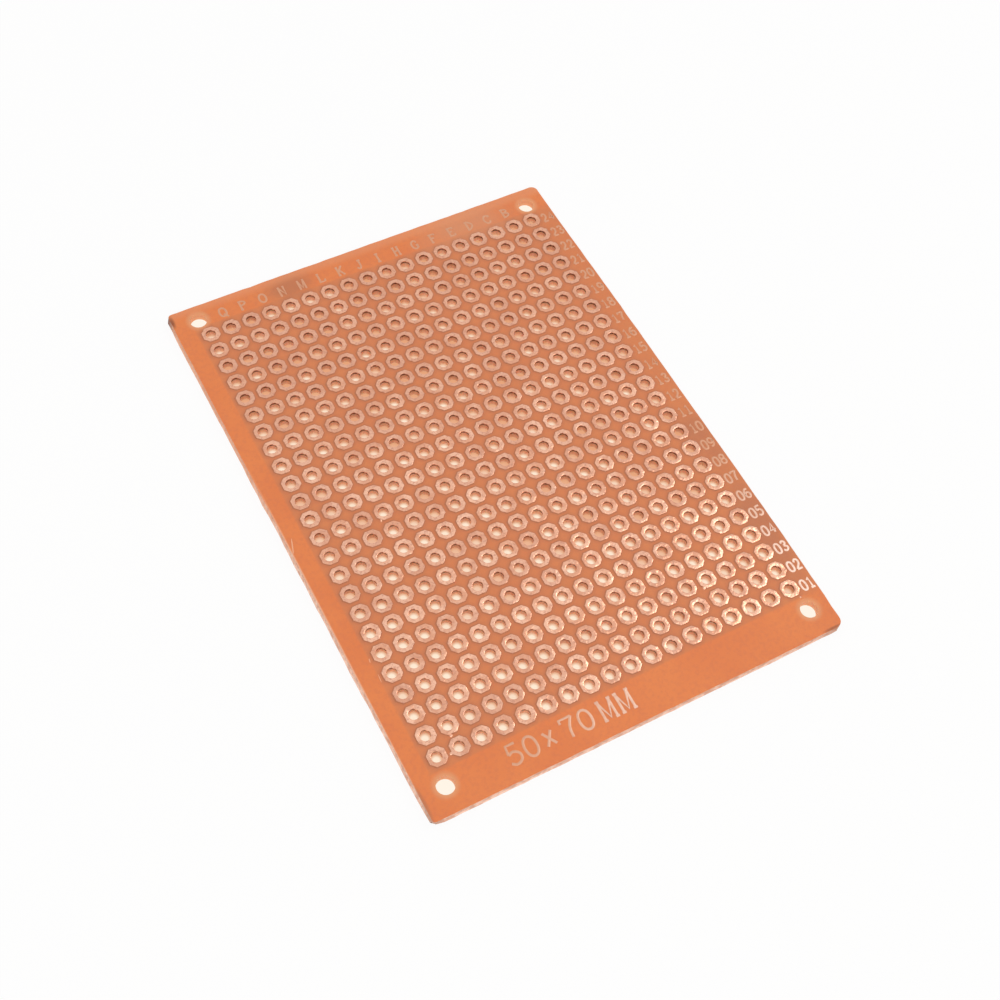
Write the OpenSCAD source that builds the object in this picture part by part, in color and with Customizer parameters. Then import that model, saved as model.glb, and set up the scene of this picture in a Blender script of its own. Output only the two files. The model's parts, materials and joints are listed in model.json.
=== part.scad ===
/* [Hole grid] */
// Spacing of the lead holes both ways, the tenth of an inch that component leads are made to
pitch = 2.54; // [2.48:0.01:2.6]
// Columns of lead holes, lettered from the right hand edge
column_count = 18; // [6:1:18]
// Diameter of a punched lead hole
lead_hole_diameter = 1.25; // [0.8:0.05:1.3]

/* [Board] */
// From the left hand edge to the middle of the first column
left_margin = 3.5; // [3.4:0.05:8]
// From the last column to the right hand edge, wide enough for two digits
right_margin = 3.32; // [3:0.02:8]
// From the near edge to row 01, wide enough for the size mark
near_margin = 6.08; // [5.8:0.02:10]
// From row 24 to the far edge, wide enough for the column letters
far_margin = 4.8; // [4.7:0.05:10]
// Thickness of the phenolic paper laminate
laminate_thickness = 1; // [0.8:0.1:2.4]
// Corner radii, from the near left corner anticlockwise: shearing leaves each one different
corner_radii = [0.35, 0.95, 0.75, 0.45]; // [0.2:0.05:1.5]

/* [Copper pads] */
// Thickness of the copper foil
foil_thickness = 0.035; // [0.018:0.001:0.105]
// Pad size between two opposite flats that lie along the grid
pad_width = 2.06; // [1.8:0.02:2.3]
// Pad size between two opposite flats that lie across the corners
pad_corner_width = 2.14; // [1.9:0.02:2.4]

/* [Screw holes] */
// Diameter of the four corner holes, close round an M2 screw
screw_hole_diameter = 2; // [1.8:0.05:2.4]
// From the left hand edge to the screw holes beside it
screw_inset_left = 2.95; // [2:0.05:3.4]
// From the right hand edge to the screw holes beside it
screw_inset_right = 2.75; // [2:0.05:3]
// From the near edge to its screw holes
screw_inset_near = 3.05; // [2:0.05:3.5]
// From the far edge to its screw holes
screw_inset_far = 2.35; // [2:0.05:2.7]

/* [Hidden] */
$fn = 48;

row_count = 24;
half_turn = 180;
quarter_turn = 90;
pad_corner_angle = 45;
// The waste at a corner reaches this far past the blank, so that the cut is clean
overrun = 0.5;

laminate_colour = [0.87, 0.52, 0.32];
copper_colour = [0.91, 0.66, 0.54];

// The blank is the hole grid with a margin on each side, and its middle is the origin
board_width = left_margin + (column_count - 1) * pitch + right_margin;
board_length = near_margin + (row_count - 1) * pitch + far_margin;

// Which way each corner lies, in the order of corner_radii
corner_sides = [[-1, -1], [1, -1], [1, 1], [-1, 1]];

// Place of a lead hole on the board: column 0 is the left hand one, row 1 the nearest
function column_x(column) = left_margin + column * pitch - board_width / 2;
function row_y(row) = near_margin + (row - 1) * pitch - board_length / 2;

// One punched hole in the flat pattern of a lead hole
module lead_hole_outline() {
    circle(d = lead_hole_diameter);
}

// All lead holes of one row
module lead_hole_row(row) {
    for (column = [0 : column_count - 1])
        translate([column_x(column), row_y(row)]) lead_hole_outline();
}

// The four corner screw holes, each set in from its own two edges
module screw_hole_outlines() {
    for (x = [screw_inset_left - board_width / 2, board_width / 2 - screw_inset_right])
        for (y = [screw_inset_near - board_length / 2, board_length / 2 - screw_inset_far])
            translate([x, y]) circle(d = screw_hole_diameter);
}

// What is lost from a square corner when it is rounded: the corner points along +X and +Y
module corner_waste(radius) {
    difference() {
        square(radius + overrun);
        circle(r = radius);
    }
}

// The sheared blank with its four corners rounded
module blank_outline() {
    difference() {
        square([board_width, board_length], center = true);
        for (i = [0 : len(corner_sides) - 1]) {
            radius = corner_radii[i];
            side = corner_sides[i];
            translate([side.x * (board_width / 2 - radius), side.y * (board_length / 2 - radius)])
                rotate(corner_turn(side)) corner_waste(radius);
        }
    }
}

// Turn that points a corner's waste outwards, one quarter turn for each corner from the far right
function corner_turn(side) =
    side.x > 0 ? (side.y > 0 ? 0 : -quarter_turn)
               : (side.y > 0 ? quarter_turn : half_turn);

// Octagonal land: a square along the grid, its corners trimmed by one set at 45 degrees
module pad_outline() {
    intersection() {
        square(pad_width, center = true);
        rotate(pad_corner_angle) square(pad_corner_width, center = true);
    }
}

// One ring of foil around a lead hole, punched together with the laminate under it
module pad() {
    linear_extrude(foil_thickness)
        difference() {
            pad_outline();
            lead_hole_outline();
        }
}

// One row of separate pads, lying on the laminate
module pad_row(row) {
    color(copper_colour)
        for (column = [0 : column_count - 1])
            translate([column_x(column), row_y(row), laminate_thickness]) pad();
}

// Phenolic paper board with every hole punched through it
module laminate() {
    color(laminate_colour)
        linear_extrude(laminate_thickness)
            difference() {
                blank_outline();
                for (row = [1 : row_count]) lead_hole_row(row);
                screw_hole_outlines();
            }
}

module pads_row_01() { pad_row(1); }
module pads_row_02() { pad_row(2); }
module pads_row_03() { pad_row(3); }
module pads_row_04() { pad_row(4); }
module pads_row_05() { pad_row(5); }
module pads_row_06() { pad_row(6); }
module pads_row_07() { pad_row(7); }
module pads_row_08() { pad_row(8); }
module pads_row_09() { pad_row(9); }
module pads_row_10() { pad_row(10); }
module pads_row_11() { pad_row(11); }
module pads_row_12() { pad_row(12); }
module pads_row_13() { pad_row(13); }
module pads_row_14() { pad_row(14); }
module pads_row_15() { pad_row(15); }
module pads_row_16() { pad_row(16); }
module pads_row_17() { pad_row(17); }
module pads_row_18() { pad_row(18); }
module pads_row_19() { pad_row(19); }
module pads_row_20() { pad_row(20); }
module pads_row_21() { pad_row(21); }
module pads_row_22() { pad_row(22); }
module pads_row_23() { pad_row(23); }
module pads_row_24() { pad_row(24); }

laminate();
pads_row_01();
pads_row_02();
pads_row_03();
pads_row_04();
pads_row_05();
pads_row_06();
pads_row_07();
pads_row_08();
pads_row_09();
pads_row_10();
pads_row_11();
pads_row_12();
pads_row_13();
pads_row_14();
pads_row_15();
pads_row_16();
pads_row_17();
pads_row_18();
pads_row_19();
pads_row_20();
pads_row_21();
pads_row_22();
pads_row_23();
pads_row_24();
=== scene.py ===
# Prototype board of phenolic paper, lying copper side up: 18 by 24 lead holes, each in its own
# octagonal copper pad, a screw hole at each corner, and etched letters and numbers that name the
# holes. X runs across the board to the numbered edge, Y along it to the lettered edge.
import json
import math
import random

import bpy
from mathutils import Matrix, Vector


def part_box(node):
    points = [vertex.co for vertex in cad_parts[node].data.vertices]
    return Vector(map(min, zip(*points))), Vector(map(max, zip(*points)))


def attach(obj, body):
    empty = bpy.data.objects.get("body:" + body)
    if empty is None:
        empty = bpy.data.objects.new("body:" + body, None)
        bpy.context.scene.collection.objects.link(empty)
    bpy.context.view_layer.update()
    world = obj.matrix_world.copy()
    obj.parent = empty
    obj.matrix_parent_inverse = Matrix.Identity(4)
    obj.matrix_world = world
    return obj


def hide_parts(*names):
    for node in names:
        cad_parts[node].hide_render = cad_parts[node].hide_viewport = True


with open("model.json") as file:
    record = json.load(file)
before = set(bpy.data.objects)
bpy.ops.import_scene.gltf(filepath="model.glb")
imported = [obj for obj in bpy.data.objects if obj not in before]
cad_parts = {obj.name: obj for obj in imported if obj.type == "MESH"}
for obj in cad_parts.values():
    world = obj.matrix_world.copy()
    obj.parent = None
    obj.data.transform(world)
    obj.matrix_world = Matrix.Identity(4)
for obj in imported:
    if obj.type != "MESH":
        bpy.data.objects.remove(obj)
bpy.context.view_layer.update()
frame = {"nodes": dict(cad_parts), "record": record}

MM = 0.001
bpy.ops.object.select_all(action="DESELECT")


# Laminate
# The board itself is paper soaked in phenolic resin and pressed into a sheet, sheared to size and
# punched. It is orange-brown and slightly translucent, and its copper side has a thin coat of
# flux lacquer. Shearing leaves the edges raw, paler and a little ragged.

def linear(hex_colour):
    """Turns a colour written as sRGB hex into the linear RGBA that a shader takes."""
    channels = [int(hex_colour[i:i + 2], 16) / 255 for i in (1, 3, 5)]
    return [c / 12.92 if c <= 0.04045 else ((c + 0.055) / 1.055) ** 2.4 for c in channels] + [1.0]


def add_node(tree, kind, inputs=None, **settings):
    """Adds a node, sets its properties, and fills its inputs with values or other nodes' outputs."""
    node = tree.nodes.new(kind)
    for name, value in settings.items():
        setattr(node, name, value)
    for key, value in (inputs or {}).items():
        if isinstance(value, bpy.types.NodeSocket):
            tree.links.new(value, node.inputs[key])
        else:
            node.inputs[key].default_value = value
    return node


def math_of(tree, operation, *values):
    """The output of a Math node on one to three values."""
    return add_node(tree, "ShaderNodeMath", dict(enumerate(values)), operation=operation).outputs[0]


def fade(tree, value, start, end, top=1.0):
    """A smooth fade of a value, from 0 at start to top at end."""
    return add_node(tree, "ShaderNodeMapRange", {"Value": value, "From Min": start, "From Max": end,
                                                 "To Max": top},
                    interpolation_type="SMOOTHSTEP").outputs["Result"]


def tint(tree, amount, under, over, blend="MIX"):
    """Lays one colour over another, as much as amount says."""
    return add_node(tree, "ShaderNodeMix", {0: amount, 6: under, 7: over},
                    data_type="RGBA", blend_type=blend).outputs[2]


def grain(tree, place, size, detail=2.0, roughness=0.5):
    """Cloudy noise whose blotches are about size metres across."""
    return add_node(tree, "ShaderNodeTexNoise", {"Vector": place, "Scale": 1 / size, "Detail": detail,
                                                 "Roughness": roughness}).outputs["Fac"]


board_low, board_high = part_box("laminate")
half_width = (board_high.x - board_low.x) / 2
half_length = (board_high.y - board_low.y) / 2
laminate_top = board_high.z

first_low, first_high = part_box("pads_row_01")
last_low, last_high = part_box("pads_row_24")
rows, columns = 24, 18
pad_width = first_high.y - first_low.y
pitch = (last_low.y - first_low.y) / (rows - 1)
first_x = first_low.x + pad_width / 2
first_y = first_low.y + pad_width / 2
grid_middle = Vector((first_x + (columns - 1) * pitch / 2, first_y + (rows - 1) * pitch / 2, 0))

# Phenolic paper, pressed: warm orange with a fine paper mottle, satin under lacquer
phenolic = bpy.data.materials.new("phenolic_paper_lacquered")
phenolic.use_nodes = True
tree = phenolic.node_tree
shader = tree.nodes["Principled BSDF"]
coords = add_node(tree, "ShaderNodeTexCoord")
place = coords.outputs["Object"]
x, y, z = add_node(tree, "ShaderNodeSeparateXYZ", {0: place}).outputs
facing = add_node(tree, "ShaderNodeSeparateXYZ", {0: coords.outputs["Normal"]}).outputs["Z"]

# A face whose normal rises less than this is a wall
wall_lean = 0.5

# Paper mottle of about 0.4 mm, clouds of about 8 mm where the resin took unevenly
mottle = grain(tree, place, 0.42 * MM, 3, 0.6)
clouds = grain(tree, place, 8 * MM, 2)
colour = tint(tree, fade(tree, clouds, 0.35, 0.65), linear("#DE7A40"), linear("#E28043"))
colour = tint(tree, fade(tree, mottle, 0.40, 0.72, 0.5), colour, linear("#D27245"))


def pad_cell(tree, x, y):
    """For a place on the board: its offsets from the nearest lead hole's middle, and a number from
    0 to 1 that is that hole's own."""
    middles = []
    for value, first, count in ((x, first_x, columns), (y, first_y, rows)):
        step = math_of(tree, "ROUND", math_of(
            tree, "DIVIDE", math_of(tree, "SUBTRACT", value, first), pitch))
        step = math_of(tree, "MAXIMUM", math_of(tree, "MINIMUM", step, count - 1), 0)
        middles.append(math_of(tree, "MULTIPLY_ADD", step, pitch, first))
    own = add_node(tree, "ShaderNodeTexWhiteNoise", {"Vector": add_node(
        tree, "ShaderNodeCombineXYZ", {0: middles[0], 1: middles[1]}).outputs[0]})
    across = math_of(tree, "ABSOLUTE", math_of(tree, "SUBTRACT", x, middles[0]))
    along = math_of(tree, "ABSOLUTE", math_of(tree, "SUBTRACT", y, middles[1]))
    return across, along, own.outputs["Value"]


# How far these marks reach: round a pad, and in from the numbered, the far and the left hand edge
cell_reach = 0.55 * pitch
octagon_corner_share = 0.69
pad_line_and_shade_reach = 0.17 * MM
painted_gap_shade_start, painted_gap_shade_full = 0.55 * MM, 0.1 * MM
number_shade_start, number_shade_full = 3.8 * MM, 3.0 * MM
bruise_reach = 0.7 * MM
far_strip_start, far_strip_full = 1.6 * MM, 0.4 * MM
left_rim_start, left_rim_full = 0.2 * MM, 0.06 * MM

# The back stays plain. On the copper side each pad has a darker line round it, partly the lacquer's
# edge and partly painted shade at the foot of the foil. A duller strip of painted shade fills the gaps
# between pads, and the whole grid, with the numbered margin beside its rows, is a little browner than
# the other margins: painted shade between the pads and between the numbers.
plain = colour
across, along, luck = pad_cell(tree, x, y)
off_pad = math_of(tree, "MAXIMUM", across, along)
octagon = math_of(tree, "MAXIMUM", off_pad, math_of(
    tree, "MULTIPLY", math_of(tree, "ADD", across, along), octagon_corner_share))
on_grid = math_of(tree, "LESS_THAN", off_pad, cell_reach)
pad_line_and_shade = fade(tree, octagon, pad_width / 2 + pad_line_and_shade_reach, pad_width / 2, 0.7)
painted_gap_shade = fade(tree, octagon, pad_width / 2 + painted_gap_shade_start, pad_width / 2 + painted_gap_shade_full, 0.6)
painted_grid_shade = fade(tree, off_pad, 0.64 * pitch, 0.48 * pitch, 0.55)
beside_rows = fade(tree, math_of(tree, "ABSOLUTE", math_of(tree, "SUBTRACT", y, grid_middle.y)),
                   (rows + 0.5) * pitch / 2, (rows - 0.5) * pitch / 2)
numbered_margin_shade = math_of(tree, "MULTIPLY", beside_rows, fade(
    tree, x, half_width - number_shade_start, half_width - number_shade_full, 0.5))
# Painted shade over the grid and the numbered margin, then in the gaps, then round each pad's foot
colour = tint(tree, math_of(tree, "MAXIMUM", painted_grid_shade, numbered_margin_shade), colour, linear("#C6794D"))
colour = tint(tree, painted_gap_shade, colour, linear("#C27048"))
colour = tint(tree, pad_line_and_shade, colour, linear("#A5643F"))


def stain(colour, x_mm, y_mm, reach_x_mm, reach_y_mm, strength, hex_colour):
    """Lays a soft cloud of another tone, such as handling dirt, over the colour round a place."""
    offset_x = math_of(tree, "DIVIDE", math_of(tree, "SUBTRACT", x, x_mm * MM), reach_x_mm * MM)
    offset_y = math_of(tree, "DIVIDE", math_of(tree, "SUBTRACT", y, y_mm * MM), reach_y_mm * MM)
    away = math_of(tree, "SQRT", math_of(tree, "ADD", math_of(tree, "MULTIPLY", offset_x, offset_x),
                                         math_of(tree, "MULTIPLY", offset_y, offset_y)))
    ragged = math_of(tree, "ADD", away, math_of(tree, "MULTIPLY", math_of(
        tree, "SUBTRACT", clouds, 0.5), 1.2))
    return tint(tree, fade(tree, ragged, 1.0, 0.2, strength), colour, linear(hex_colour))


colour = stain(colour, -11.0, 32.4, 4.6, 2.6, 0.6, "#AC6D4C")
colour = stain(colour, 23.4, -6.4, 3.0, 5.4, 0.5, "#B06C4C")
colour = stain(colour, 23.6, -20.0, 2.8, 13.0, 0.55, "#B06C4C")
colour = stain(colour, 13.0, 32.6, 8.0, 4.0, 0.6, "#D08E69")

# Punching bruises the sheet round each corner hole, which leaves it sandy there
corner_holes = next(m for m in frame["record"]["mounts"] if m["name"] == "corner_screw_holes")
corner_hole_radius = corner_holes["dims"]["hole_r_mm"] * MM
offsets = []
for value, middle, spacing in ((x, corner_holes["pos_m"][0], corner_holes["dims"]["spacing_x_mm"]),
                               (y, corner_holes["pos_m"][1], corner_holes["dims"]["spacing_y_mm"])):
    from_middle = math_of(tree, "ABSOLUTE", math_of(tree, "SUBTRACT", value, middle))
    offsets.append(math_of(tree, "SUBTRACT", from_middle, spacing * MM / 2))
from_corner_hole = math_of(tree, "SQRT", math_of(tree, "MULTIPLY_ADD", offsets[0], offsets[0], math_of(
    tree, "MULTIPLY", offsets[1], offsets[1])))
bruise = fade(tree, from_corner_hole, corner_hole_radius + bruise_reach, corner_hole_radius, 0.75)
colour = tint(tree, bruise, colour, linear("#DF9B6C"))
far_strip = fade(tree, y, half_length - far_strip_start, half_length - far_strip_full, 0.45)
colour = tint(tree, far_strip, colour, linear("#E2966A"))
left_rim = math_of(tree, "MULTIPLY", fade(tree, y, 14 * MM, -2 * MM), fade(
    tree, x, left_rim_start - half_width, left_rim_full - half_width, 0.55))
colour = tint(tree, left_rim, colour, linear("#F0C2A2"))
colour = stain(colour, -24.95, 33.2, 0.5, 1.4, 0.8, "#7A3E20")
colour = stain(colour, -24.9, -32.4, 0.45, 3.0, 0.6, "#A8694A")
colour = stain(colour, 23.3, -34.62, 1.6, 0.24, 0.7, "#8E5234")
colour = tint(tree, math_of(tree, "GREATER_THAN", facing, wall_lean), plain, colour)

# Raw edges: sheared paper is pale and pinkish, ragged, with dirt rubbed into three corners
edge_band = 1.2 * MM
upright = math_of(tree, "LESS_THAN", math_of(tree, "ABSOLUTE", facing), wall_lean)
past_width = math_of(tree, "GREATER_THAN", math_of(tree, "ABSOLUTE", x), half_width - edge_band)
past_length = math_of(tree, "GREATER_THAN", math_of(tree, "ABSOLUTE", y), half_length - edge_band)
sheared = math_of(tree, "MULTIPLY", upright, math_of(tree, "MAXIMUM", past_width, past_length))
torn = grain(tree, place, 0.9 * MM, 4, 0.7)
raw_edge = tint(tree, fade(tree, torn, 0.35, 0.65), linear("#F2C6AE"), linear("#CE967A"))
raw_edge = tint(tree, fade(tree, y, -4 * MM, 14 * MM, 0.6), raw_edge, linear("#DB946A"))
raw_edge = stain(raw_edge, -25.0, 34.7, 3.0, 3.0, 0.9, "#7A3E20")
raw_edge = stain(raw_edge, -25.0, -34.7, 1.2, 3.0, 0.5, "#94684E")
raw_edge = stain(raw_edge, 25.0, -34.7, 4.5, 3.0, 0.6, "#A0623F")
punched = math_of(tree, "SUBTRACT", upright, sheared)

# Hole walls: a thin dark line under the foil, painted shadow of its rolled lip, torn paper below it,
# and paler towards the foot, painted light for the light that scatters through the thin sheet and
# comes out there, helped by a little emission. The corner holes are sandy all through, with a little
# emission of painted light too.
depth = math_of(tree, "DIVIDE", z, laminate_top)
wall = tint(tree, fade(tree, depth, 0.35, 0.02, 0.8), linear("#EAB08A"), linear("#F8CDAA"))
wall = tint(tree, fade(tree, grain(tree, place, 0.22 * MM, 2), 0.4, 0.65, 0.35), wall, linear("#C4825A"))
wall = tint(tree, fade(tree, luck, 0.3, 1.0, 0.3), wall, linear("#C47E54"))
# Painted shadow: the upper wall darkens under the foil's lip
wall = tint(tree, fade(tree, depth, 0.58, 0.84), wall, linear("#64361E"))
wall = tint(tree, on_grid, linear("#DF9E70"), wall)
# Painted light given off as emission: on the lower part of the lead hole walls and on the corner hole
# walls
painted_glow = math_of(tree, "MAXIMUM", fade(tree, depth, 0.85, 0.2, 0.2), math_of(
    tree, "MULTIPLY", math_of(tree, "SUBTRACT", 1, on_grid), 0.12))
# Painted light given off as emission at the foot of each sheared edge, where light scatters out from
# under the board
foot_painted_glow = math_of(tree, "MULTIPLY", sheared, fade(tree, depth, 0.8, 0.1, 0.18))
painted_glow = math_of(tree, "MULTIPLY_ADD", punched, painted_glow, foot_painted_glow)
colour = tint(tree, sheared, colour, raw_edge)
colour = tint(tree, punched, colour, wall)

surface = math_of(tree, "ADD", math_of(tree, "MULTIPLY", mottle, 0.35),
                  math_of(tree, "MULTIPLY", math_of(tree, "MULTIPLY", sheared, torn), 4.0))
relief = add_node(tree, "ShaderNodeBump", {"Height": surface, "Strength": 0.35,
                                           "Distance": 0.02 * MM}).outputs[0]
tree.links.new(colour, shader.inputs["Base Color"])
tree.links.new(relief, shader.inputs["Normal"])
shader.inputs["Roughness"].default_value = 0.6
shader.inputs["IOR"].default_value = 1.5
shader.inputs["Coat Weight"].default_value = 0.1
shader.inputs["Coat Roughness"].default_value = 0.45
tree.links.new(math_of(tree, "MULTIPLY_ADD", punched, 0.3, 0.1), shader.inputs["Subsurface Weight"])
shader.inputs["Subsurface Radius"].default_value = (1.0, 0.45, 0.2)
shader.inputs["Subsurface Scale"].default_value = 0.8 * MM
tree.links.new(colour, shader.inputs["Emission Color"])
tree.links.new(painted_glow, shader.inputs["Emission Strength"])


def select_points(piece, wanted):
    """Selects, in edit mode, the points of a mesh whose place passes a test."""
    bpy.ops.object.mode_set(mode="OBJECT")
    for group in (piece.data.polygons, piece.data.edges):
        for part in group:
            part.select = False
    for point in piece.data.vertices:
        point.select = wanted(point.co)
    bpy.ops.object.mode_set(mode="EDIT")


# The board is a copy of the CAD's. Its triangles are joined up, and those of its walls made into
# quads, before its edges are reshaped.
board = frame["nodes"]["laminate"].copy()
board.data = board.data.copy()
board.parent = None
bpy.context.collection.objects.link(board)
board.name = "board"
bpy.context.view_layer.objects.active = board
board.select_set(True)
bpy.ops.mesh.customdata_custom_splitnormals_clear()
bpy.ops.object.mode_set(mode="EDIT")
bpy.ops.mesh.select_all(action="SELECT")
bpy.ops.mesh.remove_doubles(threshold=0.001 * MM)
bpy.ops.mesh.select_mode(type="FACE")
bpy.ops.object.mode_set(mode="OBJECT")
for face in board.data.polygons:
    face.select = abs(face.normal.z) < wall_lean
bpy.ops.object.mode_set(mode="EDIT")
bpy.ops.mesh.tris_convert_to_quads()
hair = 0.001 * MM
corner_room = 0.3 * MM


def on_outline(co):
    """Whether a point lies on a straight stretch of the board's sheared outline."""
    along_side = abs(abs(co.x) - half_width) < hair and abs(co.y) < half_length - corner_room
    along_end = abs(abs(co.y) - half_length) < hair and abs(co.x) < half_width - corner_room
    return along_side or along_end


def select_outline_edges(shortest):
    """Selects the level edges along the outline that are longer than shortest."""
    select_points(board, lambda co: False)
    bpy.ops.mesh.select_mode(type="EDGE")
    bpy.ops.object.mode_set(mode="OBJECT")
    for edge in board.data.edges:
        start, end = (board.data.vertices[i].co for i in edge.vertices)
        level = abs(start.z - end.z) < hair
        edge.select = (level and on_outline(start) and on_outline(end)
                       and (start - end).length > shortest)
    bpy.ops.object.mode_set(mode="EDIT")


def on_run(co, outwards, level):
    """Whether a point lies at a level of the side that faces outwards, on its straight stretch."""
    reach = half_width if outwards.x else half_length
    return abs(co.dot(outwards) - reach) < hair and abs(co.z - level) < hair and on_outline(co)


whole_side = 20 * MM
side_cuts = 48
select_outline_edges(whole_side)
bpy.ops.mesh.subdivide(number_cuts=side_cuts)
bpy.ops.mesh.select_mode(type="VERT")

# Shearing leaves each side wavy, and tears its foot out more than its top. For each side: the way
# out, the slope of the foot, and how ragged the top and the foot are.
sides = [(Vector((-1, 0, 0)), 0.16, 0.03, 0.07), (Vector((1, 0, 0)), 0.03, 0.03, 0.04),
         (Vector((0, -1, 0)), 0.06, 0.035, 0.05), (Vector((0, 1, 0)), 0.03, 0.05, 0.05)]
for number, (outwards, slope, top_wave, foot_wave) in enumerate(sides):
    for level, wave, out in ((laminate_top, top_wave, 0.0), (0.0, foot_wave, slope)):
        select_points(board, lambda co: on_run(co, outwards, level))
        bpy.ops.transform.translate(value=outwards * out * MM)
        bpy.ops.transform.vertex_random(offset=wave * MM, uniform=0.0, normal=0.0, seed=number)
        bpy.ops.transform.resize(value=(1, 1, 0), center_override=(0, 0, level))

# Both ends were sheared a little out of square, so the numbered edge is the longer one
margin_moved = 0.95 * MM
corner_moved = 0.6 * MM
for end, out_of_square in ((1, 0.5), (-1, -0.3)):
    select_points(board, lambda co: co.y * end > half_length - margin_moved)
    bpy.ops.transform.rotate(value=-math.radians(out_of_square), orient_axis="Z",
                             center_override=(0, end * half_length, 0))

# The long sides are a little bowed, so they are drawn in by steps towards their ends. For each step:
# the side and the end that it is at, how far from the middle it starts, and how far in it goes.
bow_steps = [(1, -1, 14, 0.03), (1, -1, 19, 0.04), (1, -1, 23, 0.05), (1, -1, 27.5, 0.06),
             (1, -1, 31.5, 0.1), (1, 1, 17, 0.03), (1, 1, 21, 0.04), (1, 1, 25, 0.05),
             (-1, -1, 20, 0.05), (-1, -1, 28, 0.04), (-1, 1, 6, -0.05), (-1, 1, 18, -0.04)]
for side, end, start, step in bow_steps:
    select_points(board, lambda co: (co.x * side > half_width - margin_moved
                                     and co.y * end > start * MM))
    bpy.ops.transform.translate(value=(-side * step * MM, 0, 0))

# The foot of the far left corner is torn outwards, and that of the near left one is broken off
for end, out in ((1, (-0.18, 0.0)), (-1, (0.1, 0.14))):
    select_points(board, lambda co: (co.z < hair and co.x < corner_moved - half_width
                                     and co.y * end > half_length - corner_moved))
    bpy.ops.transform.translate(value=(out[0] * MM, out[1] * MM, 0))
bpy.ops.object.mode_set(mode="OBJECT")
bpy.ops.object.shade_smooth_by_angle(angle=math.radians(40))
board.data.materials.clear()
board.data.materials.append(phenolic)
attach(board, "root")
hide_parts("laminate")


# Pads
# Each lead hole has its own octagonal ring of copper foil, left when the rest of the sheet's foil
# was etched away. Punching the hole afterwards rolls the foil's inner edge down into it. The
# artwork and the punch never line up quite, so a ring is wider on one side of its hole.

lead_hole_radius = 0.625 * MM
foil = 0.035 * MM
punch_miss = Vector((0.05 * MM, 0, 0))
burr = Vector((-0.055 * MM, -0.055 * MM, 0))

# Bare copper foil, etched and lacquered: pinkish, satin, with a fine rolled grain
copper = bpy.data.materials.new("copper_foil_lacquered")
copper.use_nodes = True
tree = copper.node_tree
shader = tree.nodes["Principled BSDF"]
place = add_node(tree, "ShaderNodeTexCoord").outputs["Object"]
x, y = add_node(tree, "ShaderNodeSeparateXYZ", {0: place}).outputs[:2]
luck = pad_cell(tree, x, y)[2]
tarnish = grain(tree, place, 1.6 * MM, 2)
pitting = grain(tree, place, 0.24 * MM, 3, 0.55)
colour = tint(tree, fade(tree, tarnish, 0.35, 0.65), linear("#FAC2A3"), linear("#E7A481"))
colour = tint(tree, fade(tree, y, 2 * MM, 18 * MM, 0.45), colour, linear("#DE9E7C"))
colour = tint(tree, fade(tree, luck, 0.2, 1.0, 0.35), colour, linear("#D79C82"))
colour = tint(tree, fade(tree, pitting, 0.45, 0.7, 0.6), colour, linear("#C4866E"))
dents = grain(tree, place, 0.5 * MM, 1)
sway = grain(tree, place, 2.2 * MM, 1)
uneven = math_of(tree, "MULTIPLY_ADD", pitting, 0.5, math_of(
    tree, "MULTIPLY_ADD", dents, 2.0, math_of(tree, "MULTIPLY", sway, 7.0)))
relief = add_node(tree, "ShaderNodeBump", {"Height": uneven, "Strength": 0.8,
                                           "Distance": 0.03 * MM}).outputs[0]
tree.links.new(colour, shader.inputs["Base Color"])
tree.links.new(relief, shader.inputs["Normal"])
shader.inputs["Metallic"].default_value = 1.0
shader.inputs["Roughness"].default_value = 0.26
shader.inputs["Coat Weight"].default_value = 1.0
shader.inputs["Coat Roughness"].default_value = 0.25

# From the foil's outer edge inwards: size of each loop, its height, and how round it is. The last
# three loops are the lip that punching rolls into the hole.
pad_corner_width = 2.14 * MM
corner_cut = pad_width - pad_corner_width / math.sqrt(2)
octagon_radius = math.hypot(pad_width / 2, pad_width / 2 - corner_cut)
rim = lead_hole_radius / octagon_radius
loops = [(0.99, 0.8 * foil, 0.0), (0.94, 1.05 * foil, 0.0), (1.09 * rim, 1.15 * foil, 1.0),
         (1.02 * rim, 0.8 * foil, 1.0), (0.99 * rim, -1.4 * foil, 1.0)]
middle = Vector((0, 0, laminate_top))


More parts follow.
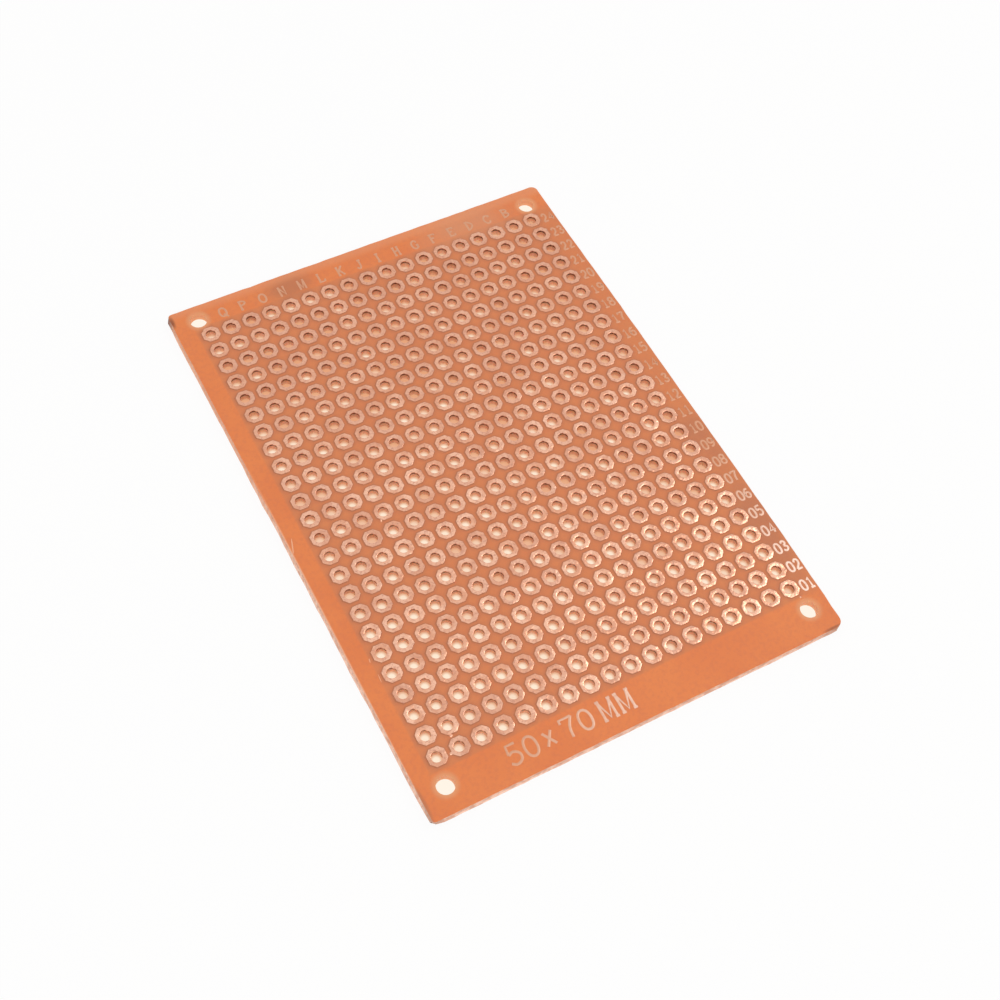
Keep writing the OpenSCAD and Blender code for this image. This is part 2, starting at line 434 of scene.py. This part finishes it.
def make_ring(seed):
    """One pad over the board's middle: an octagon whose etched outline is a little ragged."""
    bpy.ops.object.select_all(action="DESELECT")
    bpy.ops.mesh.primitive_plane_add(size=pad_width, location=middle)
    ring = bpy.context.object
    bpy.ops.object.transform_apply()
    bpy.ops.object.mode_set(mode="EDIT")
    bpy.ops.mesh.select_all(action="SELECT")
    bpy.ops.mesh.bevel(offset=corner_cut, affect="VERTICES", segments=1)
    bpy.ops.mesh.select_all(action="SELECT")
    bpy.ops.mesh.delete(type="ONLY_FACE")
    bpy.ops.mesh.select_all(action="SELECT")
    bpy.ops.mesh.subdivide(number_cuts=1)
    bpy.ops.transform.vertex_random(offset=0.032 * MM, uniform=0.0, normal=0.0, seed=seed)
    bpy.ops.transform.resize(value=(1, 1, 0), center_override=middle)
    share_before, height_before = 1.0, 0.0
    for share, height, roundness in loops:
        bpy.ops.mesh.extrude_region()
        step = share / share_before
        bpy.ops.transform.resize(value=(step, step, 1), center_override=middle)
        bpy.ops.transform.translate(value=(0, 0, height - height_before))
        if roundness:
            bpy.ops.transform.tosphere(value=roundness)
        share_before, height_before = share, height
    lip_height = laminate_top + loops[-1][1]
    select_points(ring, lambda co: min(abs(co.z - laminate_top), abs(co.z - lip_height)) < 1e-7)
    bpy.ops.mesh.bridge_edge_loops()
    bpy.ops.mesh.select_all(action="SELECT")
    bpy.ops.mesh.normals_make_consistent(inside=False)
    bpy.ops.object.mode_set(mode="OBJECT")
    bpy.ops.object.shade_smooth_by_angle(angle=math.radians(50))
    return ring


def from_hole_middle(co, row):
    """A point's offset, across and along, from the nearest lead hole's middle in a row."""
    column = round((co.x - first_x) / pitch)
    return Vector((co.x - (first_x + column * pitch), co.y - (first_y + row * pitch)))


# Six patterns, each laid in four ways, are enough for no repeat to show. A point further than
# ring_share of the hole's radius is on the foil, and one nearer than lip_share is on the lip.
pattern_count = 6
ring_share, lip_share = 1.25, 1.06
burr_side = Vector((1, 1))
burr_spread = math.radians(12)
ring_patterns = [make_ring(seed) for seed in range(pattern_count)]
punching = random.Random(7)
for row in range(rows):
    rings = []
    for column in range(columns):
        pattern = punching.choice(ring_patterns)
        ring = pattern.copy()
        ring.data = pattern.data.copy()
        bpy.context.collection.objects.link(ring)
        ring.rotation_euler.z = punching.randrange(4) * math.pi / 2
        ring.location = (first_x + column * pitch, first_y + row * pitch, 0)
        rings.append(ring)
    bpy.ops.object.select_all(action="DESELECT")
    for ring in rings:
        ring.select_set(True)
    bpy.context.view_layer.objects.active = rings[0]
    bpy.ops.object.join()
    copper_row = bpy.context.object
    bpy.ops.object.transform_apply()
    copper_row.name = f"copper_row_{row + 1:02d}"

    # The foil outside the rolled lip is off centre, and the lip has a burr at the same place in
    # every hole
    select_points(copper_row, lambda co: (
        from_hole_middle(co, row).length > ring_share * lead_hole_radius))
    bpy.ops.transform.translate(value=punch_miss)
    select_points(copper_row, lambda co: (
        from_hole_middle(co, row).length < lip_share * lead_hole_radius
        and from_hole_middle(co, row).angle(burr_side) < burr_spread))
    bpy.ops.transform.translate(value=burr)
    bpy.ops.object.mode_set(mode="OBJECT")
    copper_row.data.materials.clear()
    copper_row.data.materials.append(copper)
    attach(copper_row, "root")
    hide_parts(f"pads_row_{row + 1:02d}")
for pattern in ring_patterns:
    bpy.data.objects.remove(pattern)


# Lettering
# The letters of the columns, the numbers of the rows and a size in millimetres are etched from
# the same foil as the pads, as thin strokes of even width. They only name places on the grid.

# The same foil in thin strokes: brighter towards the numbered near corner, a painted highlight where the
# right hand soft box is mirrored, and duller away from it
strokes = bpy.data.materials.new("etched_foil_strokes")
strokes.use_nodes = True
tree = strokes.node_tree
shader = tree.nodes["Principled BSDF"]
place = add_node(tree, "ShaderNodeTexCoord").outputs["Object"]
x, y = add_node(tree, "ShaderNodeSeparateXYZ", {0: place}).outputs[:2]
from_end = math_of(tree, "MULTIPLY", math_of(tree, "SUBTRACT", x, half_width), 0.6)
from_side = math_of(tree, "ADD", y, half_length)
from_corner = math_of(tree, "SQRT", math_of(tree, "MULTIPLY_ADD", from_end, from_end, math_of(
    tree, "MULTIPLY", from_side, from_side)))
worn = grain(tree, place, 0.5 * MM, 2)
# Painted highlight: the strokes lighten towards the numbered near corner
colour = tint(tree, fade(tree, from_corner, 5 * MM, 27 * MM), linear("#FFDCC8"), linear("#D69873"))
colour = tint(tree, fade(tree, worn, 0.45, 0.7, 0.3), colour, linear("#C98A6C"))
tree.links.new(colour, shader.inputs["Base Color"])
shader.inputs["Metallic"].default_value = 0.35
shader.inputs["Roughness"].default_value = 0.42
shader.inputs["Coat Weight"].default_value = 0.5
shader.inputs["Coat Roughness"].default_value = 0.35


def stem(at, serif=0.18):
    """An upright stroke with a serif at each end."""
    return [("line", [(at, 0), (at, 1)]), ("line", [(at - serif, 0), (at + serif, 0)]),
            ("line", [(at - serif, 1), (at + serif, 1)])]


# Strokes of each sign in a box one unit wide and high: straight lines, smooth bows and loops
signs = {
    "0": [("loop", [(.5, 1), (.06, .5), (.5, 0), (.94, .5)])],
    "1": [("line", [(.2, .78), (.52, 1), (.52, 0)]), ("line", [(.15, 0), (.9, 0)])],
    "2": [("bow", [(.1, .74), (.48, 1), (.86, .74), (.06, .02)]), ("line", [(.06, 0), (.94, 0)])],
    "3": [("bow", [(.1, .84), (.48, 1), (.84, .77), (.42, .54)]),
          ("bow", [(.42, .54), (.92, .28), (.46, 0), (.06, .17)])],
    "4": [("line", [(.7, 0), (.7, 1), (.05, .3), (.97, .3)])],
    "5": [("line", [(.86, 1), (.2, 1), (.14, .54)]),
          ("bow", [(.14, .54), (.55, .62), (.93, .31), (.48, 0), (.06, .13)])],
    "6": [("bow", [(.84, .92), (.42, .9), (.07, .4), (.5, 0), (.93, .3), (.5, .57), (.1, .32)])],
    "7": [("line", [(.05, .8), (.05, 1), (.95, 1)]), ("bow", [(.95, 1), (.56, .5), (.46, 0)])],
    "8": [("loop", [(.5, 1), (.14, .77), (.5, .54), (.86, .77)]),
          ("loop", [(.5, .54), (.05, .27), (.5, 0), (.95, .27)])],
    "9": [("bow", [(.16, .08), (.58, .1), (.93, .6), (.5, 1), (.07, .7), (.5, .43), (.9, .68)])],
    "B": stem(.2) + [("line", [(.2, 1), (.5, 1)]), ("bow", [(.5, 1), (.86, .77), (.5, .54)]),
                     ("line", [(.2, .54), (.5, .54)]), ("bow", [(.5, .54), (.95, .27), (.5, 0)]),
                     ("line", [(.2, 0), (.5, 0)])],
    "C": [("bow", [(.9, .72), (.52, 1), (.06, .5), (.52, 0), (.92, .24)]),
          ("line", [(.9, .98), (.9, .7)])],
    "D": stem(.2) + [("line", [(.2, 1), (.45, 1)]), ("bow", [(.45, 1), (.95, .5), (.45, 0)]),
                     ("line", [(.2, 0), (.45, 0)])],
    "E": stem(.2) + [("line", [(.2, 1), (.86, 1), (.86, .82)]), ("line", [(.2, .53), (.66, .53)]),
                     ("line", [(.2, 0), (.9, 0), (.9, .2)])],
    "F": stem(.2) + [("line", [(.2, 1), (.86, 1), (.86, .82)]), ("line", [(.2, .53), (.66, .53)])],
    "G": [("bow", [(.88, .76), (.52, 1), (.06, .5), (.5, 0), (.86, .2)]),
          ("line", [(.86, .05), (.86, .42)]), ("line", [(.6, .42), (1, .42)])],
    "H": stem(.2) + stem(.8) + [("line", [(.2, .52), (.8, .52)])],
    "I": stem(.5, .24),
    "J": [("line", [(.42, 1), (.9, 1)]), ("line", [(.66, 1), (.66, .25)]),
          ("bow", [(.66, .25), (.38, 0), (.1, .2)])],
    "K": stem(.2) + [("line", [(.86, 1), (.2, .4)]), ("line", [(.42, .6), (.88, 0)]),
                     ("line", [(.66, 1), (1, 1)]), ("line", [(.7, 0), (1, 0)])],
    "L": stem(.2) + [("line", [(.2, 0), (.88, 0), (.88, .24)])],
    "M": stem(.12, .12) + stem(.88, .12) + [("line", [(.12, 1), (.5, .06), (.88, 1)])],
    "N": stem(.16, .14) + [("line", [(.16, 1), (.84, 0), (.84, 1)]), ("line", [(.7, 1), (.98, 1)])],
    "O": [("loop", [(.5, 1), (.04, .5), (.5, 0), (.96, .5)])],
    "P": stem(.2) + [("line", [(.2, 1), (.5, 1)]), ("bow", [(.5, 1), (.9, .75), (.5, .5)]),
                     ("line", [(.2, .5), (.5, .5)])],
    "Q": [("loop", [(.5, 1), (.04, .5), (.5, 0), (.96, .5)]), ("line", [(.52, .26), (1, -.16)])],
    "x": [("line", [(.1, .1), (.9, .8)]), ("line", [(.1, .8), (.9, .1)])],
}


# Each stroke of a sign lies a hair above the one before, so that crossing ones keep clean faces
crossing_step = 0.012 * MM


def etch(name, words, stroke, height):
    """Etches words in foil. Each word is its text, the place of its first sign's lower left
    corner, its signs' width and the step from one sign to the next, all in metres."""
    bpy.ops.object.select_all(action="DESELECT")
    bpy.ops.curve.primitive_bezier_curve_add(location=(0, 0, 0))
    lettering = bpy.context.object
    outline = lettering.data
    outline.splines.clear()
    for text, left, bottom, width, step in words:
        for number, sign in enumerate(text):
            for order, (form, points) in enumerate(signs[sign]):
                level = laminate_top + order * crossing_step
                run = outline.splines.new("BEZIER")
                run.bezier_points.add(len(points) - 1)
                run.use_cyclic_u = form == "loop"
                for knot, (across, up) in zip(run.bezier_points, points):
                    knot.co = (left + number * step + across * width, bottom + up * height, level)
                    knot.handle_left_type = knot.handle_right_type = (
                        "VECTOR" if form == "line" else "AUTO")
                run.resolution_u = 1 if form == "line" else 5
    outline.dimensions = "3D"
    outline.bevel_depth = stroke / 2
    outline.bevel_resolution = 1
    outline.use_fill_caps = True
    bpy.ops.object.convert(target="MESH")
    bpy.ops.object.mode_set(mode="EDIT")
    bpy.ops.mesh.select_all(action="SELECT")
    bpy.ops.transform.resize(value=(1, 1, 2 * foil / stroke), center_override=middle)
    bpy.ops.object.mode_set(mode="OBJECT")
    lettering = bpy.context.object
    bpy.ops.object.shade_smooth_by_angle(angle=math.radians(60))
    lettering.name = name
    lettering.data.materials.clear()
    lettering.data.materials.append(strokes)
    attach(lettering, "root")
    return lettering


# Letters stand over their columns on the far margin. The end ones fell to the screw holes.
letter_height = 1.27 * MM
letter_width = 0.9 * MM
letter_bottom = last_high.y + 0.78 * MM
letter_nudge = 0.03 * MM
thin_stroke = 0.25 * MM
letters = []
for number, letter in enumerate("BCDEFGHIJKLMNOPQ"):
    column_x = first_x + (columns - 2 - number) * pitch
    letters.append((letter, column_x - letter_width / 2 - letter_nudge, letter_bottom,
                    letter_width, 0))
etch("column_letters", letters, thin_stroke, letter_height)

# Numbers stand beside their rows, almost out to the edge
digit_height = 1.24 * MM
digit_width = 0.68 * MM
digit_step = 0.87 * MM
digit_left = first_high.x + 0.37 * MM
digit_drop = 0.3 * MM
numbers = []
for row in range(rows):
    row_y = first_y + row * pitch
    numbers.append((f"{row + 1:02d}", digit_left, row_y - digit_height / 2 - digit_drop,
                    digit_width, digit_step))
etch("row_numbers", numbers, thin_stroke, digit_height)

# The board's size in millimetres, in the near margin left of its middle
size_height = 2.2 * MM
size_width = 1.55 * MM
size_step = 1.95 * MM
size_left = -15.2 * MM
size_bottom = board_low.y + 1.75 * MM
size_stroke = 0.29 * MM
etch("size_mark", [("50", size_left, size_bottom, size_width, size_step),
                   ("x", size_left + 2.15 * size_step, size_bottom, size_width * 0.8, 0),
                   ("70", size_left + 3.3 * size_step, size_bottom, size_width, size_step),
                   ("MM", size_left + 5.55 * size_step, size_bottom, size_width * 1.15,
                    size_step * 1.1)],
     size_stroke, size_height)


# Etching leftovers
# Where the etchant missed a little foil, a nub or a whisker of copper stays beside a pad. A few
# loose paper fibres, one of them torn out of the left hand edge, lie in the lacquer.

def fleck(x_mm, y_mm, length_mm, width_mm, turn_degrees):
    """A small flat lump on the board, its length at an angle from the board's width."""
    bpy.ops.mesh.primitive_uv_sphere_add(segments=10, ring_count=6, radius=1)
    lump = bpy.context.object
    lump.scale = (length_mm * MM / 2, width_mm * MM / 2, foil)
    lump.rotation_euler.z = math.radians(turn_degrees)
    lump.location = (x_mm * MM, y_mm * MM, laminate_top)
    return lump


def scatter(name, lumps, material):
    """Joins lumps into one piece of a material."""
    bpy.ops.object.select_all(action="DESELECT")
    for lump in lumps:
        lump.select_set(True)
    bpy.context.view_layer.objects.active = lumps[0]
    bpy.ops.object.join()
    piece = bpy.context.object
    bpy.ops.object.transform_apply()
    bpy.ops.object.shade_smooth_by_angle(angle=math.radians(60))
    piece.name = name
    piece.data.materials.append(material)
    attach(piece, "root")


fibre = bpy.data.materials.new("loose_paper_fibre")
fibre.use_nodes = True
shader = fibre.node_tree.nodes["Principled BSDF"]
shader.inputs["Base Color"].default_value = linear("#EDA981")
shader.inputs["Roughness"].default_value = 0.7

scatter("copper_leftovers",
        [fleck(-14.5, -1.42, 0.78, 0.2, 68), fleck(13.32, -24.3, 0.5, 0.36, 45),
         fleck(22.26, -29.93, 0.28, 0.2, -50), fleck(-19.95, -28.9, 0.55, 0.34, 5),
         fleck(-19.18, -27.2, 0.34, 0.34, 90)], copper)
scatter("paper_fibres",
        [fleck(-24.55, -0.32, 2.0, 0.16, 73), fleck(-22.95, -16.15, 0.5, 0.12, 80),
         fleck(-22.87, -18.4, 1.0, 0.1, 86)], fibre)


# Studio
# A white table under even light, with a soft lamp beyond the board's right hand side, which the
# copper there mirrors towards the camera, and a weak one in front. Under the board the table is
# painted with the light that comes through the sheet: painted light, pinkish in the lead holes and
# cream in the corner ones.

floor_reach = 3.0
table_gap = 0.01 * MM
edge_room = 1 * MM
hole_clear = 0.7 * MM
bpy.ops.object.select_all(action="DESELECT")
bpy.ops.mesh.primitive_plane_add(size=2 * floor_reach, location=(0, 0, board_low.z - table_gap))
table = bpy.context.object
table.name = "table"
bpy.ops.object.transform_apply()
white_table = bpy.data.materials.new("white_table")
white_table.use_nodes = True
tree = white_table.node_tree
tree.nodes.clear()
seen = add_node(tree, "ShaderNodeLightPath")
direct = math_of(tree, "MAXIMUM", seen.outputs["Is Camera Ray"], math_of(
    tree, "MAXIMUM", seen.outputs["Is Glossy Ray"], seen.outputs["Is Transmission Ray"]))
matt = add_node(tree, "ShaderNodeBsdfDiffuse", {"Color": linear("#F2F0EE")})
spot = add_node(tree, "ShaderNodeSeparateXYZ", {
    0: add_node(tree, "ShaderNodeTexCoord").outputs["Object"]}).outputs
under_board = math_of(tree, "MULTIPLY", math_of(tree, "LESS_THAN", math_of(
    tree, "ABSOLUTE", spot["X"]), half_width - edge_room), math_of(tree, "LESS_THAN", math_of(
        tree, "ABSOLUTE", spot["Y"]), half_length - edge_room))
across, along, luck = pad_cell(tree, spot["X"], spot["Y"])
under_grid = math_of(tree, "LESS_THAN", math_of(tree, "MAXIMUM", across, along), cell_reach)
from_hole = math_of(tree, "SQRT", math_of(tree, "MULTIPLY_ADD", across, across, math_of(
    tree, "MULTIPLY", along, along)))
# Painted light seen through the lead holes: cream or pinkish orange, at random per hole and more orange
# towards the far end and the numbered side
far_right = math_of(tree, "ADD", math_of(tree, "MULTIPLY", spot["X"], 0.2 / half_width), math_of(
    tree, "MULTIPLY", spot["Y"], 0.45 / half_length))
hazy = fade(tree, math_of(tree, "ADD", luck, far_right), 0.15, 1.1)
painted_light_through_sheet = tint(tree, hazy, linear("#FFEAD2"), linear("#E8A57C"))
# Painted shade: darker and more orange near the foot of each lead hole's wall
painted_light_through_sheet = tint(tree, fade(tree, from_hole, 0.26 * MM, 0.62 * MM, 0.8), painted_light_through_sheet,
                     linear("#E4A47A"))
painted_light_through_holes = tint(tree, under_grid, linear("#FFF5E6"), painted_light_through_sheet)
white = add_node(tree, "ShaderNodeEmission", {"Strength": 1.0, "Color": tint(
    tree, under_board, linear("#FFFFFF"), painted_light_through_holes)})
shown = math_of(tree, "MULTIPLY", direct, math_of(tree, "MAXIMUM", under_board, 0.9))
both = add_node(tree, "ShaderNodeMixShader", {0: shown, 1: matt.outputs[0], 2: white.outputs[0]})

# Nothing shows the table from beneath, and it lets light up to the board's underside, but not up
# through the lead holes
footprint = math_of(tree, "MULTIPLY", math_of(tree, "LESS_THAN", math_of(
    tree, "ABSOLUTE", spot["X"]), half_width), math_of(tree, "LESS_THAN", math_of(
        tree, "ABSOLUTE", spot["Y"]), half_length))
beneath = add_node(tree, "ShaderNodeNewGeometry").outputs["Backfacing"]
off_holes = math_of(tree, "GREATER_THAN", from_hole, hole_clear)
let_through = math_of(tree, "MAXIMUM", beneath, math_of(
    tree, "MULTIPLY", math_of(tree, "MULTIPLY", footprint, off_holes), math_of(
        tree, "SUBTRACT", 1, direct)))
one_sided = add_node(tree, "ShaderNodeMixShader", {0: let_through, 1: both.outputs[0], 2: add_node(
    tree, "ShaderNodeBsdfTransparent").outputs[0]})
add_node(tree, "ShaderNodeOutputMaterial", {"Surface": one_sided.outputs[0]})
table.data.materials.append(white_table)

sky = bpy.data.worlds.new("studio")
sky.use_nodes = True
bpy.context.scene.world = sky
tree = sky.node_tree
tree.nodes.clear()
seen = add_node(tree, "ShaderNodeLightPath")
direct = math_of(tree, "MAXIMUM", seen.outputs["Is Camera Ray"], math_of(
    tree, "MAXIMUM", seen.outputs["Is Glossy Ray"], seen.outputs["Is Transmission Ray"]))
fill = add_node(tree, "ShaderNodeBackground", {"Color": linear("#FFFFFF"), "Strength": 0.82})
mirrored = add_node(tree, "ShaderNodeBackground", {"Color": linear("#FFFFFF"), "Strength": 0.94})
white = add_node(tree, "ShaderNodeBackground", {"Color": linear("#FFFFFF"), "Strength": 1.0})
shown = add_node(tree, "ShaderNodeMixShader", {0: seen.outputs["Is Camera Ray"],
                                               1: mirrored.outputs[0], 2: white.outputs[0]})
both = add_node(tree, "ShaderNodeMixShader", {0: direct, 1: fill.outputs[0], 2: shown.outputs[0]})
add_node(tree, "ShaderNodeOutputWorld", {"Surface": both.outputs[0]})


def soft_lamp(name, place_mm, aim_mm, size_mm, watts):
    """A square soft box at a place, turned towards a point."""
    place, aim = Vector(place_mm) * MM, Vector(aim_mm) * MM
    bpy.ops.object.light_add(type="AREA", location=place)
    lamp = bpy.context.object
    lamp.name = name
    lamp.rotation_euler = (aim - place).to_track_quat("-Z", "Y").to_euler()
    lamp.data.shape = "SQUARE"
    lamp.data.size = size_mm * MM
    lamp.data.energy = watts


soft_lamp("right_soft_box", (245, 4, 336), (15, -20, 0), 120, 0.155)
soft_lamp("front_soft_box", (-150, -320, 420), (0, 0, 0), 300, 0.5)

# Camera: the place, aim and roll from which the grid's 432 pads fall where the photograph has them
camera_place = grid_middle + Vector((-49.95, -72.73, 136.05)) * MM
camera_aim = grid_middle + Vector((-1.64, -5.54, 1.035)) * MM
camera_roll = math.radians(8.69)
sensor_width = 36
lens_share = 1.4235
bpy.ops.object.camera_add(location=camera_place)
camera = bpy.context.object
camera.rotation_euler = ((camera_aim - camera_place).to_track_quat("-Z", "Y").to_matrix()
                         @ Matrix.Rotation(camera_roll, 3, "Z")).to_euler()
camera.data.sensor_width = sensor_width
camera.data.lens = sensor_width * lens_share
camera.data.clip_start = 0.01
bpy.context.scene.camera = camera

bpy.context.scene.view_settings.view_transform = "Standard"
